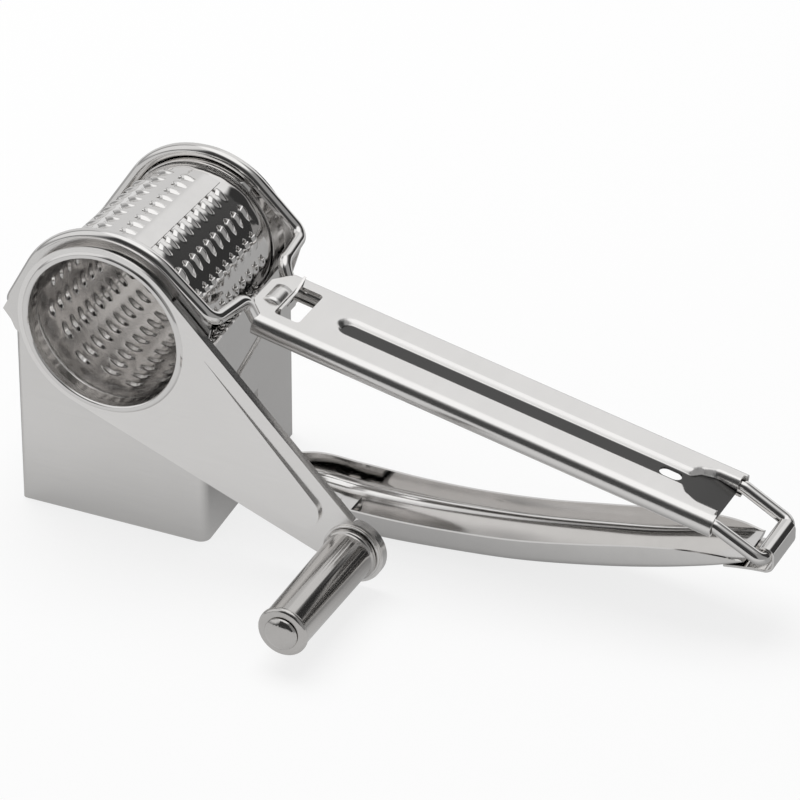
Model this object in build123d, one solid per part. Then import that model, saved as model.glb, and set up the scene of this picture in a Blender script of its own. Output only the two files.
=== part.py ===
from build123d import *
import os
from math import acos, asin, atan2, cos, degrees, hypot, radians, sin

# Hand-cranked rotary grater with a squeeze handle, all stainless steel.
# While it is drawn, the drum axis is along Y at x = 0, the food box stands on z = 0 and the
# handles run to +X. Every size is in millimetres. The last section moves the origin to the
# middle of the footprint.

# ---------------------------------------------------------------- driving dimensions
ORIGIN_X = 81.35         # middle of the whole tool while it is drawn
ORIGIN_Y = -24.3
AXIS_Z = 65.9            # drum axis above the table
SHEET = 0.8              # sheet thickness of the frame parts
FIT = 0.08               # radial running clearance of turning parts
WIRE_R = 2.0             # frame wire, 4 mm diameter

BOX_FRONT_Y = -33.2      # outer face of the food box's front wall
BOX_BACK_Y = 33.2        # outer face of its back wall
BOX_FRONT_L = -30.4      # front wall, left edge
BOX_FRONT_R = 30.7       # front wall, right edge
BOX_BACK_L = -26.5       # back wall, left edge (the box narrows to the back)
BOX_BACK_R = 26.9        # back wall, right edge
BOX_RIM_Z = 62.5         # top of the side walls before they are cut down

ARCH_FRONT_Y = -30.3     # wire arch over the crank side
ARCH_BACK_Y = 30.3       # wire arch over the closed side
ARCH_FRONT_R = 28.6
ARCH_BACK_R = 26.3

DRUM_R_MID = 24.65       # outer radius of the drum half way along
DRUM_TAPER = 0.038       # the drum narrows by this much per mm to the back
DRUM_WALL = 0.7
DRUM_FRONT_Y = -31.0
DRUM_BACK_Y = 27.0
NECK_R = 26.2            # plain neck of the drum, turning in the front wall
STUB_R = 3.0             # stub of the drum, turning in the back wall
TOOTH_ROWS = 17
ROW_PITCH = 20.8         # degrees between rows of teeth
ROW_FIRST = 61.2         # angle of the first row
TOOTH_PITCH = 4.65       # along the drum
TEETH_MID_Y = -1.2       # middle of every row
TOOTH_RISE = 0.95        # hood above the sheet
HOOD_WALL = 0.35
TOOTH_LIP = 1.0          # cutting lip, ahead of the tooth's middle
TOOTH_TAIL = 3.3         # end of the hood, behind it
TOOTH_POINT = 3.0        # pointed end of the opening, ahead of it
FLATS_FRONT_Y = -24.6    # the flats end in round bands
FLATS_BACK_Y = 23.4
BAND_WALL = 0.9
SEAM_ANGLE = 74.8        # middle of the plain strip with the lap seam
SEAM_HALF = 8.2          # half its width, in degrees

CRANK_FRONT_Y = -36.5    # front face of the crank plate
RING_R = 27.5            # outer radius of the crank plate's ring
MOUTH_R = 24.0           # open mouth of the drum
ARM_LENGTH = 95.7        # drum axis to knob axis
ARM_ANGLE = -33.9        # crank position as it stands, degrees above +X
ARM_END_R = 9.9
ARM_HALF_W = 6.9         # half width of the arm at the knob
FLANGE_DEPTH = 2.0
FIELD_END_R = 5.6        # round end of the arm's raised field
FIELD_END = 77.0         # its centre, from the drum axis
FIELD_RISE = 1.3         # at the knob's end; none at the ring

KNOB_END_Y = -82.7
PIN_R = 2.5
KNOB_R_BASE = 7.6
KNOB_R_END = 7.2
KNOB_CAP_R = 7.7

RAIL_Y = 11.3            # half distance between the handle's wires
RAIL_X = 36.65           # start of the straight handle wires
RAIL_Z = 65.4
RAIL_SLOPE = 12.09       # degrees down to the right
RAIL_LENGTH = 147.5
HINGE_X = 195.6
HINGE_Z = 26.3
LEG_Y = 11.0

SQUEEZE = 8.5            # degrees from rest to closed
PRESS_R = 28.0           # saddle radius of the presser, centred on the drum when closed
PRESS_WALL = 1.2
KNUCKLE_HALF = 8.4
STRIP = 1.2              # thickness of the presser's strip
STRIP_HALF = 5.0
STRIP_Z = 3.9            # under side of the strip inside the food box

KNOB_X = ARM_LENGTH * cos(radians(ARM_ANGLE))
KNOB_Z = AXIS_Z + ARM_LENGTH * sin(radians(ARM_ANGLE))

os.makedirs("parts", exist_ok=True)


# ---------------------------------------------------------------- small helpers
def facing_front(y):
    """Sketch plane at this y: local x is +X, local y is +Z, local z points to the front."""
    return Plane(origin=(0, y, 0), x_dir=(1, 0, 0), z_dir=(0, -1, 0))


def facing_right(x):
    """Sketch plane at this x: local x is +Y, local y is +Z, local z points to +X."""
    return Plane(origin=(x, 0, 0), x_dir=(0, 1, 0), z_dir=(1, 0, 0))


def prism(plane, points, depth):
    """Straight prism over a polygon, from the plane along its local z."""
    face = make_face(Polyline(*points, close=True))
    return extrude(plane * face, amount=depth, dir=plane.z_dir)


def tube(x, z, y0, y1, r_out, r_in=0.0):
    """Round bar or tube along Y between two y values."""
    low = min(y0, y1)
    high = max(y0, y1)
    place = Plane(origin=(x, low, z), x_dir=(1, 0, 0), z_dir=(0, 1, 0))
    ring = Circle(r_out)
    if r_in > 0:
        ring = ring - Circle(r_in)
    return extrude(place * ring, amount=high - low)


def block(x0, x1, y0, y1, z0, z1):
    """Plain box between two corners."""
    size = Box(x1 - x0, y1 - y0, z1 - z0)
    return Pos((x0 + x1) / 2, (y0 + y1) / 2, (z0 + z1) / 2) * size


def turned(points, x, z):
    """Turned part about a Y line: points are (radius, y)."""
    profile = [Vector(r, y, 0) for r, y in points]
    face = make_face(Polyline(*profile, close=True))
    return Pos(x, 0, z) * revolve(face, Axis.Y, 360)


def rounded_path(points, radii):
    """Polyline with a round bend at every inner point."""
    edges = []
    start = Vector(*points[0])
    for i in range(1, len(points) - 1):
        corner = Vector(*points[i])
        before = (Vector(*points[i - 1]) - corner).normalized()
        after = (Vector(*points[i + 1]) - corner).normalized()
        half = before.get_angle(after) / 2
        reach = radii[i - 1] / abs(sin(radians(half)) / cos(radians(half)))
        p0 = corner + before * reach
        p1 = corner + after * reach
        inward = (before + after).normalized()
        gap = radii[i - 1] / sin(radians(half)) - radii[i - 1]
        edges.append(Line(start, p0))
        edges.append(ThreePointArc(p0, corner + inward * gap, p1))
        start = p1
    edges.append(Line(start, Vector(*points[-1])))
    return edges


def arch_tangents(left, right, radius):
    """Angles where lines from the two outer points touch the arch circle."""
    def touch(px, pz, side):
        away = hypot(px, pz - AXIS_Z)
        lean = degrees(acos(radius / away))
        return degrees(atan2(pz - AXIS_Z, px)) + side * lean
    a_left = touch(left[0], left[1], -1)
    a_right = touch(right[0], right[1], 1)
    if a_left < 0:
        a_left += 360
    return a_left, a_right


def on_arch(radius, angle, y):
    """Point on an arch circle."""
    return (radius * cos(radians(angle)), y, AXIS_Z + radius * sin(radians(angle)))


# ---------------------------------------------------------------- frame wire
# One closed loop of 4 mm wire: hinge bar, legs, handle rails, jogs, two arches, left bar.
LEFT_FRONT = (-33.3, 64.6)
LEFT_BACK = (-34.0, 62.0)
JOG_FRONT = (33.0, 74.8)
JOG_BACK = (31.8, 71.6)
RAIL_DX = cos(radians(RAIL_SLOPE))
RAIL_DZ = -sin(radians(RAIL_SLOPE))
RAIL_END_X = RAIL_X + RAIL_LENGTH * RAIL_DX
RAIL_END_Z = RAIL_Z + RAIL_LENGTH * RAIL_DZ


def wire_side(left, jog, radius, y_arch, side, inner):
    """Bends of one half of the loop, from the left bar to the hinge bar."""
    a_left, a_right = arch_tangents(left, jog, radius)
    mid = (a_left + a_right) / 2
    to_arch = [(left[0], 0, (LEFT_FRONT[1] + LEFT_BACK[1]) / 2), (left[0], y_arch, left[1])]
    to_arch.append(on_arch(radius, a_left, y_arch))
    first = rounded_path(to_arch, [4.0])
    arc = ThreePointArc(
        Vector(*on_arch(radius, a_left, y_arch)),
        Vector(*on_arch(radius, mid, y_arch)),
        Vector(*on_arch(radius, a_right, y_arch)),
    )
    to_hinge = [on_arch(radius, a_right, y_arch), (jog[0], y_arch, jog[1])]
    to_hinge.append((inner[0], side * (RAIL_Y + 1.8), inner[1]))
    to_hinge.append((RAIL_X + inner[2], side * RAIL_Y, RAIL_Z - 0.21 * inner[2]))
    to_hinge.append((RAIL_END_X, side * RAIL_Y, RAIL_END_Z))
    to_hinge.append((HINGE_X, side * LEG_Y, HINGE_Z))
    to_hinge.append((HINGE_X, 0, HINGE_Z))
    last = rounded_path(to_hinge, [4.0, 4.2, 4.0, 5.0, 2.4])
    return Wire(first + [arc] + last)


def make_wire_loop(wire_r):
    solids = []
    halves = (
        wire_side(LEFT_FRONT, JOG_FRONT, ARCH_FRONT_R, ARCH_FRONT_Y, -1, (34.7, 73.4, 1.0)),
        wire_side(LEFT_BACK, JOG_BACK, ARCH_BACK_R, ARCH_BACK_Y, 1, (34.0, 71.6, 0.4)),
    )
    for path in halves:
        start = Plane(origin=path @ 0, z_dir=path % 0)
        solids.append(sweep(start * Circle(wire_r), path=path))
    return solids[0] + solids[1]


# ---------------------------------------------------------------- food box and its arched ends
def end_wall_outline(radius, left_side, right_side):
    """Outline of an end wall in X and Z: arch above, each side listed from its shoulder down."""
    a_left, a_right = arch_tangents(left_side[0], right_side[0], radius)
    left_x, _, left_z = on_arch(radius, a_left, 0)
    right_x, _, right_z = on_arch(radius, a_right, 0)
    edges = Polyline((left_x, left_z), *left_side).edges()
    edges += Polyline((right_x, right_z), *right_side).edges()
    edges += ThreePointArc((right_x, right_z), (0, AXIS_Z + radius), (left_x, left_z)).edges()
    edges += Line(left_side[-1], right_side[-1]).edges()
    return make_face(edges)


def side_x(y, front_x, back_x):
    """Outer face of a slanting side wall at this y."""
    return front_x + (back_x - front_x) * (y - BOX_FRONT_Y) / (BOX_BACK_Y - BOX_FRONT_Y)


def make_hopper():
    # open square duct with rounded upright corners, slightly narrower at the back
    corners = [
        (BOX_FRONT_L, BOX_FRONT_Y, 1.4),
        (BOX_FRONT_R, BOX_FRONT_Y, 3.0),
        (BOX_BACK_R, BOX_BACK_Y, 1.6),
        (BOX_BACK_L, BOX_BACK_Y, 1.6),
    ]
    outer = make_face(Polyline(*[(x, y) for x, y, bend in corners], close=True))
    for x, y, bend in corners:
        corner = outer.vertices().sort_by_distance((x, y, 0))[0]
        outer = fillet(corner, bend)
    inner = offset(outer, -SHEET, kind=Kind.INTERSECTION)
    duct = extrude(outer, amount=BOX_RIM_Z) - extrude(inner, amount=BOX_RIM_Z)

    # left wall stops below the wire, between the corners
    duct = duct - block(-40, -20, -29, 29, 57, 70)
    # right wall: low back flap, tall front flap, V notch between, slot for the presser strip
    notch = [(-18.9, 70), (-18.9, 62), (-8.4, 44), (-7.4, 40), (-6.2, 42.6), (11.8, 46.4)]
    notch += [(24.0, 49.0), (29.5, 62.0), (29.5, 70)]
    duct = duct - prism(facing_right(20), notch, 20)
    duct = duct - block(20, 40, -7.4, -7.0, 30, 41)
    duct = duct - block(20, 40, -7.4, 6.4, -1, 30.8)

    # the end walls carry on upward as arches that the wire stiffens
    front_left = [(-34.2, 64.0), (-31.7, 60.9), (BOX_FRONT_L, 58.0), (BOX_FRONT_L + 1.4, 56.8)]
    front_left.append((BOX_FRONT_L + 1.4, 0))
    front_right = [(33.4, 73.2), (BOX_FRONT_R - 3, 50.0), (BOX_FRONT_R - 3, 0)]
    front = end_wall_outline(29.0, front_left, front_right)
    front = extrude(facing_front(BOX_FRONT_Y + SHEET) * front, amount=SHEET, dir=(0, -1, 0))
    back_left = [(-34.6, 61.4), (-32.0, 58.4), (BOX_BACK_L + 1.6, 52.0), (BOX_BACK_L + 1.6, 0)]
    back_right = [(31.6, 70.2), (BOX_BACK_R - 1.6, 50.0), (BOX_BACK_R - 1.6, 0)]
    back = end_wall_outline(26.9, back_left, back_right)
    back = extrude(facing_front(BOX_BACK_Y) * back, amount=SHEET, dir=(0, -1, 0))
    shell = duct + front + back

    # flared lip from the top of the left wall out to the left bar of the wire
    sections = []
    for y, top_z in ((-28.0, 61.6), (28.0, 59.4)):
        wall_x = side_x(y, BOX_FRONT_L, BOX_BACK_L)
        flare = [(wall_x, 56.2), (wall_x + SHEET, 56.2), (-31.3, top_z), (-32.1, top_z)]
        sections.append(facing_front(y) * make_face(Polyline(*flare, close=True)))
    shell = shell + loft(sections, ruled=True)

    # mouth for the front bearing, seat for the back boss
    shell = shell - tube(0, AXIS_Z, -40, -30, NECK_R + 1.0)
    shell = shell - tube(0, AXIS_Z, 30, 40, 6.0)
    return shell


def make_front_bearing():
    # thin ring in the front wall in which the drum's neck turns
    return tube(0, AXIS_Z, BOX_FRONT_Y, BOX_FRONT_Y + 0.85, NECK_R + 1.0, NECK_R + FIT)


def make_back_bearing():
    # stepped ring on the inside of the back wall that guides the drum's closed end
    inner = drum_r(DRUM_BACK_Y) + FIT
    ring = tube(0, AXIS_Z, 27.2, BOX_BACK_Y - SHEET, inner + 0.5, inner)
    step = tube(0, AXIS_Z, 31.9, BOX_BACK_Y - SHEET, 25.1, inner + 0.5)
    return ring + step


def make_back_boss():
    # round boss in the back wall with the hole for the drum's stub
    boss = tube(0, AXIS_Z, 29.6, 34.4, 6.0, STUB_R + FIT)
    rim = tube(0, AXIS_Z, BOX_BACK_Y, 34.4, 8.0, 6.0)
    return boss + rim


def make_chute_wall():
    # upright strip behind the V notch that keeps food in front of the drum
    x0 = side_x(-29.8, BOX_FRONT_R, BOX_BACK_R) - SHEET - 0.01
    x1 = side_x(31.0, BOX_FRONT_R, BOX_BACK_R) - SHEET - 0.01
    plan = [(x0 - SHEET, -29.8), (x0, -29.8), (x1, 31.0), (x1 - SHEET, 31.0)]
    return prism(Plane.XY.offset(40), plan, 21.6)


# ---------------------------------------------------------------- upper handle plate
# Worked out flat: s runs along the rails, h is square to the plate. Then laid on the slope.
def on_rails():
    """Plane whose local x runs along the rails and local y is the tool's +Y."""
    normal = (-RAIL_DZ, 0, RAIL_DX)
    return Plane(origin=(RAIL_X, 0, RAIL_Z), x_dir=(RAIL_DX, 0, RAIL_DZ), z_dir=normal)


PLATE_TOP = 2.85
PLATE_START = -3.6
PLATE_END = 146.7
ROLL_END = 147.6
ROLL_IN = 2.05
ROLL_OUT = 2.85
GROOVE_START = 20.8
GROOVE_TOP = 4.8         # half width of the stamped groove at the plate's face
GROOVE_FLOOR = 2.8       # half width of its floor
GROOVE_DEPTH = 1.4


def rolled_edge(side, s0, s1):
    """Edge of the plate curled down round the wire, open on its inner lower side."""
    ring = Circle(ROLL_OUT) - Circle(ROLL_IN)
    gap = Polyline((0, 0), (-side * 6, -1.4), (-side * 6, -6), (-side * 1.2, -6), close=True)
    ring = ring - make_face(gap)
    across = Plane(origin=(s0, side * RAIL_Y, 0), x_dir=(0, 1, 0), z_dir=(1, 0, 0))
    return extrude(across * ring, amount=s1 - s0, dir=(1, 0, 0))


def make_grip_plate():
    plate = block(PLATE_START, PLATE_END, -RAIL_Y, RAIL_Y, PLATE_TOP - SHEET, PLATE_TOP)
    plate = plate + rolled_edge(1, 0.0, ROLL_END) + rolled_edge(-1, 0.0, ROLL_END)

    # stamped groove down the middle, with sloping sides
    low = PLATE_TOP - GROOVE_DEPTH
    cut = [(-GROOVE_TOP, PLATE_TOP), (-GROOVE_FLOOR, low), (GROOVE_FLOOR, low), (GROOVE_TOP, PLATE_TOP)]
    cut += [(GROOVE_TOP, PLATE_TOP + 2), (-GROOVE_TOP, PLATE_TOP + 2)]
    under = [(-GROOVE_TOP - 0.5, PLATE_TOP - SHEET), (-GROOVE_FLOOR - 0.4, low - SHEET)]
    under += [(GROOVE_FLOOR + 0.4, low - SHEET), (GROOVE_TOP + 0.5, PLATE_TOP - SHEET)]
    plate = plate + prism(facing_right(GROOVE_START - 0.8), under, 134.0 - GROOVE_START)
    plate = plate - prism(facing_right(GROOVE_START), cut, 134.0 - GROOVE_START)

    # scoop that widens out of the groove and falls away to the end of the plate
    scoop = [(132.6, 4.6), (140.0, 8.2), (PLATE_END + 1, 8.2)]
    scoop_out = [(131.8, 5.2), (139.8, 8.9), (PLATE_END, 8.9)]
    opening = prism(Plane.XY.offset(-8), scoop + [(s, -y) for s, y in reversed(scoop)], 16)
    skin = prism(Plane.XY.offset(-8), scoop_out + [(s, -y) for s, y in reversed(scoop_out)], 16)
    bowl_low = [(131.0, low - SHEET), (PLATE_END + 1, low - 2.4), (PLATE_END + 1, 2.4), (131.0, 2.4)]
    bowl_top = [(132.6, low), (PLATE_END + 2, low - 1.6), (PLATE_END + 2, 6.0), (132.6, 6.0)]
    bowl = skin & prism(facing_front(12), bowl_low, 24)
    plate = plate - (opening & prism(facing_front(12), [(132.6, 0), (149, 0), (149, 6), (132.6, 6)], 24))
    plate = plate + (bowl - (opening & prism(facing_front(12), bowl_top, 24)))

    # chamfered left end, low bulge with its slot, catch opening, hanging hole
    for side in (-1, 1):
        corner = [(-4.6, side * 5.2), (0.0, side * 11.1), (0.0, side * 16), (-4.6, side * 16)]
        plate = plate - prism(Plane.XY.offset(-4), corner, 8)
    window = Pos(8.15, 0, 0) * RectangleRounded(8.1, 17.0, 1.2)
    plate = plate - extrude(window, amount=6)
    bulge = Pos(1.2, 0, 0.55) * Rot(90, 0, 0) * Cylinder(3.2, 9.0)
    bulge = bulge - Pos(1.2, 0, 0.55) * Rot(90, 0, 0) * Cylinder(2.4, 12.0)
    bulge = bulge & block(-1.6, 4.0, -6, 6, PLATE_TOP - 0.2, 6)
    plate = plate - block(-0.6, 3.0, -4.5, 4.5, PLATE_TOP - 1, PLATE_TOP + 0.01)
    plate = plate + bulge
    hole = Pos(128.6, 0, 0) * SlotOverall(7.0, 4.4)
    plate = plate - extrude(Plane.XY.offset(-2) * hole, amount=8)

    # two lugs under the plate hold the catch pin
    for side in (-1, 1):
        plate = plate + block(0.0, 2.9, side * 6.1 - 0.4, side * 6.1 + 0.4, -1.6, PLATE_TOP - SHEET)
    plate = plate - Pos(1.4, 0, -0.3) * Rot(90, 0, 0) * Cylinder(0.8, 20)
    # the rolls give way where the wire bends
    return on_rails().location * plate - make_wire_loop(WIRE_R + 0.04)


# ---------------------------------------------------------------- thumb catch
def make_catch_lever():
    # bent strip: eye on the pin, thumb fin through the window, tongue to the left
    fin = block(4.9, 5.7, -7.0, 7.4, 0.2, 4.6)
    tip = [(2.6, 4.4), (7.4, 4.4), (8.4, 7.6), (6.4, 6.0)]
    fin = fin + prism(facing_right(4.9), tip, 0.8)
    fin = fin - block(4.0, 6.5, -2.6, 1.6, 3.0, 3.9)
    foot = block(2.2, 5.7, -4.6, 4.6, -0.6, 0.2)
    eye = Pos(1.4, 0, -0.3) * Rot(90, 0, 0) * Cylinder(1.6, 9.2)
    tongue = block(-6.5, 0.4, -3.0, 3.0, -1.9, -1.1)
    lever = fin + foot + eye + tongue
    lever = lever - Pos(1.4, 0, -0.3) * Rot(90, 0, 0) * Cylinder(0.8 + 0.06, 12)
    return on_rails().location * lever


def make_catch_pin():
    pin = Pos(1.4, 0, -0.3) * Rot(90, 0, 0) * Cylinder(0.8, 13.6)
    return on_rails().location * pin


# ---------------------------------------------------------------- drum
def drum_r(y):
    """Outer radius of the tapered drum at this y."""
    return DRUM_R_MID - DRUM_TAPER * y


def on_drum(y, angle, scale=1.0):
    """Point on the drum at this y and angle, or a little inside or outside it."""
    r = drum_r(y) * scale
    return (r * cos(radians(angle)), y, AXIS_Z + r * sin(radians(angle)))


def faceted(rings):
    """Flat-sided solid through polygons of equal corner count; either end may be one point."""
    faces = [Face(Wire.make_polygon(ring)) for ring in (rings[0], rings[-1]) if len(ring) > 1]
    for near, far in zip(rings, rings[1:]):
        count = max(len(near), len(far))
        for i in range(count):
            j = (i + 1) % count
            side = [near[i % len(near)], near[j % len(near)], far[j % len(far)], far[i % len(far)]]
            faces.append(Face(Wire.make_polygon(list(dict.fromkeys(side)))))
    return Solid(Shell(faces))


def tooth_section(half_foot, half_top, foot, top, z):
    """Four-cornered section of a tooth, across the turn, at this z before it is turned into place."""
    return [(foot, -half_foot, z), (top, -half_top, z), (top, half_top, z), (foot, half_foot, z)]


def make_tooth(y):
    """One tooth on the +X side of the drum: its raised hood, and the pointed opening under it."""
    r = drum_r(y)
    top = r + TOOTH_RISE
    hood = faceted([
        tooth_section(1.4, 0.5, r - 0.6, top, TOOTH_LIP), tooth_section(1.4, 0.5, r - 0.6, top, -0.6),
        [(r - 0.7, 0, -TOOTH_TAIL)]])
    # the opening flares inwards, and its walls run parallel to the hood's
    foot = r - 2.6
    top = top - HOOD_WALL
    opening = faceted([
        [(foot, 0, TOOTH_POINT + 1.6)], tooth_section(2.1, 0.25, foot, top, TOOTH_LIP + 0.3),
        tooth_section(2.1, 0.25, foot, top, -0.4), [(foot, 0, -TOOTH_TAIL - 2.3)]])
    place = Pos(0, y, AXIS_Z)
    return place * hood, place * opening


def make_drum_shell():
    # Creases run along the rows of teeth with flats between them, and one flat is left plain for
    # the lap seam. A round band stays at each end.
    creases = [ROW_FIRST - row * ROW_PITCH for row in range(TOOTH_ROWS)]
    corners = [SEAM_ANGLE] + creases
    ends = (FLATS_FRONT_Y, FLATS_BACK_Y)
    inner = 1 - DRUM_WALL / DRUM_R_MID
    shell = faceted([[on_drum(y, a) for a in corners] for y in ends])
    shell = shell - faceted([[on_drum(y, a, inner) for a in corners] for y in (ends[0] - 1, ends[1] + 1)])
    for y0, y1 in ((DRUM_FRONT_Y, ends[0]), (ends[1], DRUM_BACK_Y)):
        band = [(drum_r(y0), y0), (drum_r(y1), y1), (drum_r(y1) - BAND_WALL, y1)]
        shell = shell + turned(band + [(drum_r(y0) - BAND_WALL, y0)], 0, AXIS_Z)
    lap = [(-SEAM_HALF, 0.985), (-SEAM_HALF, 1.006), (0, 1.011), (SEAM_HALF, 1.006), (SEAM_HALF, 0.985)]
    shell = shell + faceted([[on_drum(y, SEAM_ANGLE + a, k) for a, k in lap] for y in ends])
    # neighbouring rows are staggered by half a pitch
    axis = Axis((0, 0, AXIS_Z), (0, 1, 0))
    hoods = []
    openings = []
    for row, angle in enumerate(creases):
        count = 10 if row % 2 else 9
        for k in range(count):
            hood, opening = make_tooth(TEETH_MID_Y + (k - (count - 1) / 2) * TOOTH_PITCH)
            hoods.append(hood.rotate(axis, -angle))
            openings.append(opening.rotate(axis, -angle))
    return shell + hoods - openings


def make_drum_neck():
    # plain neck band round the drum's front end, turning in the front wall
    front = CRANK_FRONT_Y + SHEET
    inner = drum_r(DRUM_FRONT_Y) - DRUM_WALL
    points = [(inner, front), (NECK_R, front), (NECK_R, -26.5), (drum_r(-26.5), -26.5)]
    points += [(drum_r(DRUM_FRONT_Y), DRUM_FRONT_Y), (inner, DRUM_FRONT_Y)]
    return turned(points, 0, AXIS_Z)


def make_drum_back():
    # dished cap that closes the back of the drum, with the stub it turns on
    r = drum_r(DRUM_BACK_Y)
    points = [
        (0, 27.0), (r, 27.0), (r, 27.9), (20.0, 27.9), (17.5, 28.9), (8.5, 28.9),
        (7.0, 28.2), (STUB_R, 28.2), (STUB_R, 35.6), (STUB_R - 0.6, 36.2), (0, 36.2),
    ]
    return turned(points, 0, AXIS_Z)


# ---------------------------------------------------------------- crank
def arm_outline(ring_r, half_w, end_r, length):
    """Teardrop outline: ring about the origin, tapering arm to +X, disc at its end."""
    lean = asin((ring_r - half_w) / length)
    corners = [
        (ring_r * sin(lean), ring_r * cos(lean)),
        (length + half_w * sin(lean), half_w * cos(lean)),
        (length + half_w * sin(lean), -half_w * cos(lean)),
        (ring_r * sin(lean), -ring_r * cos(lean)),
    ]
    arm = make_face(Polyline(*corners, close=True))
    return Circle(ring_r) + arm + Pos(length, 0) * Circle(end_r)


def make_crank_plate():
    # stamped plate: open ring, tapering arm, round end, edge turned back
    outline = arm_outline(RING_R, ARM_HALF_W, ARM_END_R, ARM_LENGTH)
    inside = arm_outline(RING_R - SHEET, ARM_HALF_W - SHEET, ARM_END_R - SHEET, ARM_LENGTH)
    face = extrude(outline, amount=SHEET, dir=(0, 0, 1))
    edge = extrude(outline - inside, amount=FLANGE_DEPTH, dir=(0, 0, -1))
    edge = edge - Pos(0, 0, -5) * Cylinder(RING_R + 0.4, 20)
    plate = face + edge - Cylinder(MOUTH_R, 20)
    # mouth edge turned in
    plate = plate + Pos(0, 0, -0.55) * (Cylinder(MOUTH_R + 0.8, 1.5) - Cylinder(MOUTH_R, 4))
    # field of the arm, level at the ring and raised towards the knob
    field = arm_outline(RING_R - 4, FIELD_END_R, FIELD_END_R, FIELD_END) - Circle(RING_R + 2.6)
    hollow = arm_outline(RING_R - 4.7, FIELD_END_R - 0.7, FIELD_END_R - 0.7, FIELD_END)
    hollow = hollow - Circle(RING_R + 3.3)
    top = SHEET + FIELD_RISE
    raised = prism(facing_front(30), [(28, 0.4), (84, 0.4), (84, top), (28, SHEET + 0.04)], 60)
    under = prism(facing_front(30), [(28, -1), (84, -1), (84, FIELD_RISE), (28, 0.04)], 60)
    plate = plate + (extrude(Plane.XY.offset(-3) * field, amount=8) & raised)
    plate = plate - (extrude(Plane.XY.offset(-3) * hollow, amount=8) & under)
    plate = plate - Pos(ARM_LENGTH, 0, 0) * Cylinder(2.0, 10)
    place = Plane(origin=(0, CRANK_FRONT_Y + SHEET, AXIS_Z), x_dir=(1, 0, 0), z_dir=(0, -1, 0))
    return place.location * (Rot(0, 0, ARM_ANGLE) * plate)


# ---------------------------------------------------------------- knob
PIN_HEAD_Y = CRANK_FRONT_Y + SHEET + 1.1
WASHER_Y = CRANK_FRONT_Y - 0.8
SLEEVE_Y = WASHER_Y - 0.3
HEAD_Y = KNOB_END_Y - 0.3


def make_knob_pin():
    # shouldered rivet through the arm; its domed head holds the knob on
    points = [
        (0, PIN_HEAD_Y), (3.4, PIN_HEAD_Y), (3.4, CRANK_FRONT_Y + SHEET), (2.0, CRANK_FRONT_Y + SHEET),
        (2.0, CRANK_FRONT_Y), (PIN_R, CRANK_FRONT_Y), (PIN_R, HEAD_Y), (5.2, HEAD_Y),
        (4.9, HEAD_Y - 0.7), (3.9, HEAD_Y - 1.3), (2.1, HEAD_Y - 1.8), (0, HEAD_Y - 1.9),
    ]
    return turned(points, KNOB_X, KNOB_Z)


def make_knob_washer():
    return tube(KNOB_X, KNOB_Z, CRANK_FRONT_Y, WASHER_Y, 8.9, PIN_R + 0.02)


def make_knob_sleeve():
    # tapered tube closed at its foot by a turned-in disc
    points = [
        (PIN_R + FIT, SLEEVE_Y - 0.8), (PIN_R + FIT, SLEEVE_Y), (8.3, SLEEVE_Y), (8.3, SLEEVE_Y - 1.4),
        (KNOB_R_BASE, SLEEVE_Y - 2.0), (KNOB_R_END, KNOB_END_Y + 1.9),
        (KNOB_R_END - 0.8, KNOB_END_Y + 1.9), (KNOB_R_BASE - 0.8, SLEEVE_Y - 0.8),
    ]
    return turned(points, KNOB_X, KNOB_Z)


def make_knob_cap():
    points = [
        (PIN_R + FIT, KNOB_END_Y + 1.9), (KNOB_CAP_R - 0.3, KNOB_END_Y + 1.9),
        (KNOB_CAP_R, KNOB_END_Y + 1.4), (KNOB_CAP_R, KNOB_END_Y + 0.7),
        (KNOB_CAP_R - 0.7, KNOB_END_Y), (PIN_R + FIT, KNOB_END_Y),
    ]
    return turned(points, KNOB_X, KNOB_Z)


# ---------------------------------------------------------------- lower handle
# Stations along the trough: x, half width, rim height, foot of the side, middle of the floor.
TROUGH = [
    (37.0, 9.6, 9.0, 4.2, 2.2),
    (44.0, 12.2, 9.6, 3.9, 0.9),
    (60.0, 12.8, 9.6, 3.5, 0.0),
    (80.0, 12.7, 9.6, 3.8, 0.5),
    (100.0, 12.5, 10.8, 5.0, 2.2),
    (120.0, 12.5, 13.2, 7.1, 4.6),
    (140.0, 12.2, 17.1, 10.6, 8.2),
    (158.0, 11.5, 20.9, 14.2, 12.2),
    (172.0, 11.0, 23.2, 17.6, 16.2),
    (182.0, 10.2, 23.6, 20.2, 19.4),
    (189.0, 9.0, 23.0, 22.0, 21.8),
]
TROUGH_WALL = 1.0


def trough_section(x, w, rim, foot, floor, inset, lift):
    """Closed section of the trough at x: straight sides and a bowed floor."""
    half = w - inset
    lines = [
        Line((-half, rim + lift), (-half, foot + inset)),
        ThreePointArc((-half, foot + inset), (0, floor + inset), (half, foot + inset)),
        Line((half, foot + inset), (half, rim + lift)),
        Line((half, rim + lift), (-half, rim + lift)),
    ]
    return facing_right(x) * make_face(lines)


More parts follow.
